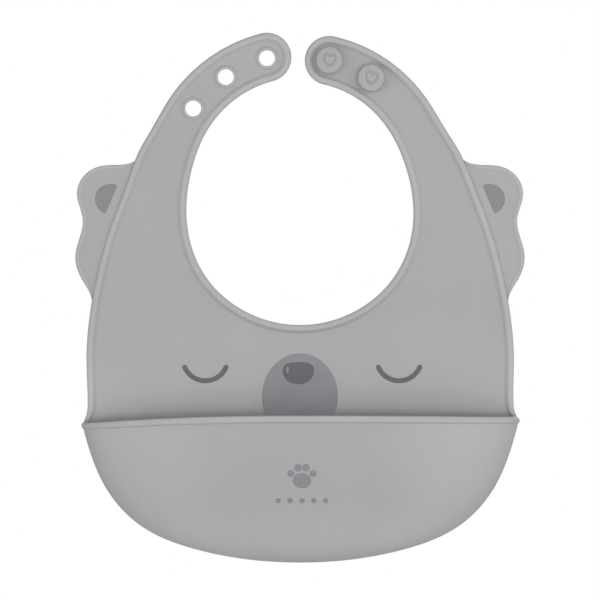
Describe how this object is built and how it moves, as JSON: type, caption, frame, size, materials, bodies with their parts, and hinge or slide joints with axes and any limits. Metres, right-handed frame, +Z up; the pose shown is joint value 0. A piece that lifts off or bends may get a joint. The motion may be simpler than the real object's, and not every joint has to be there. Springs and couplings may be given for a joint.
{
  "type": "silicone bib",
  "caption": "Soft silicone baby bib with a scooped catch pocket, a beaded edge, ear flaps, a printed sleeping face and neck straps that fasten with studs in holes.",
  "frame": {"origin": "centre of the neck opening, in the plane of the flat back", "axes": "+Z up as the bib hangs, -Y out of the front where the pocket stands, +X to the right of someone looking at the front"},
  "size_m": [0.2304, 0.0384, 0.2716],
  "materials": {
    "silicone": "soft matt silicone",
    "stud_silicone": "soft satin silicone",
    "print_dark": "matt silicone print",
    "print_nose": "matt silicone print",
    "print_eye": "matt silicone print",
    "print_light": "matt silicone print",
    "print_emblem": "matt silicone print"
  },
  "bodies": {
    "upper_panel": {"upper_panel": "silicone"},
    "lower_panel": {"lower_panel": "silicone", "pocket_base": "silicone", "pocket_left_side": "silicone", "pocket_right_side": "silicone", "muzzle_print": "print_dark", "nose_print": "print_nose", "nose_highlight": "print_light", "left_eye_print": "print_eye", "right_eye_print": "print_eye"},
    "pocket_front": {"pocket_front_wall": "silicone", "pocket_front_lip": "silicone", "pocket_paw_print": "print_emblem", "pocket_dot_row": "print_emblem"},
    "left_strap_root": {"left_strap_root": "silicone"},
    "left_strap_middle": {"left_strap_middle": "silicone"},
    "left_strap_tip": {"left_strap_tip": "silicone"},
    "right_strap_root": {"right_strap_root": "silicone"},
    "right_strap_middle": {"right_strap_middle": "silicone", "inner_stud": "stud_silicone"},
    "right_strap_tip": {"right_strap_tip": "silicone", "outer_stud": "stud_silicone"},
    "left_ear": {"left_ear_flap": "silicone", "left_ear_print": "print_dark"},
    "right_ear": {"right_ear_flap": "silicone", "right_ear_print": "print_dark"}
  },
  "joints": [
    {"name": "left_strap_root_fold", "type": "hinge", "parent": "upper_panel", "child": "left_strap_root", "pos_m": [-0.0633, -0.0007, 0.03384], "axis": [-0.9037, 0, 0.4281], "range_deg": [-15, 45], "stiffness_Nm_per_rad": 0.02},
    {"name": "left_strap_middle_fold", "type": "hinge", "parent": "left_strap_root", "child": "left_strap_middle", "pos_m": [-0.04661, -0.0007, 0.05815], "axis": [-0.67, 0, 0.7424], "range_deg": [-15, 45], "stiffness_Nm_per_rad": 0.012},
    {"name": "left_strap_tip_fold", "type": "hinge", "parent": "left_strap_middle", "child": "left_strap_tip", "pos_m": [-0.02742, -0.0007, 0.07096], "axis": [-0.3986, 0, 0.9171], "range_deg": [-15, 45], "stiffness_Nm_per_rad": 0.008},
    {"name": "right_strap_root_fold", "type": "hinge", "parent": "upper_panel", "child": "right_strap_root", "pos_m": [0.06208, -0.0007, 0.03326], "axis": [-0.9037, 0, -0.4281], "range_deg": [-15, 45], "stiffness_Nm_per_rad": 0.02},
    {"name": "right_strap_middle_fold", "type": "hinge", "parent": "right_strap_root", "child": "right_strap_middle", "pos_m": [0.04537, -0.0007, 0.05678], "axis": [-0.67, 0, -0.7424], "range_deg": [-15, 45], "stiffness_Nm_per_rad": 0.012},
    {"name": "right_strap_tip_fold", "type": "hinge", "parent": "right_strap_middle", "child": "right_strap_tip", "pos_m": [0.02661, -0.0007, 0.0691], "axis": [-0.3986, 0, -0.9171], "range_deg": [-15, 45], "stiffness_Nm_per_rad": 0.008},
    {"name": "left_ear_fold", "type": "hinge", "parent": "upper_panel", "child": "left_ear", "pos_m": [-0.09795, -0.0007, -0.0115], "axis": [-0.2964, 0, -0.9551], "range_deg": [-45, 45], "stiffness_Nm_per_rad": 0.006},
    {"name": "right_ear_fold", "type": "hinge", "parent": "upper_panel", "child": "right_ear", "pos_m": [0.09795, -0.0007, -0.0115], "axis": [-0.2964, 0, 0.9551], "range_deg": [-45, 45], "stiffness_Nm_per_rad": 0.006},
    {"name": "panel_fold", "type": "hinge", "parent": "upper_panel", "child": "lower_panel", "pos_m": [0, -0.0007, -0.072], "axis": [1, 0, 0], "range_deg": [-80, 60], "stiffness_Nm_per_rad": 0.02},
    {"name": "pocket_front_flex", "type": "hinge", "parent": "lower_panel", "child": "pocket_front", "pos_m": [0, -0.008, -0.171], "axis": [1, 0, 0], "range_deg": [-22, 12], "stiffness_Nm_per_rad": 0.05}
  ],
  "couplings": [
    {"joint": "left_strap_middle_fold", "follows": "left_strap_root_fold", "ratio": 1},
    {"joint": "left_strap_tip_fold", "follows": "left_strap_root_fold", "ratio": 1},
    {"joint": "right_strap_middle_fold", "follows": "right_strap_root_fold", "ratio": 1},
    {"joint": "right_strap_tip_fold", "follows": "right_strap_root_fold", "ratio": 1}
  ]
}
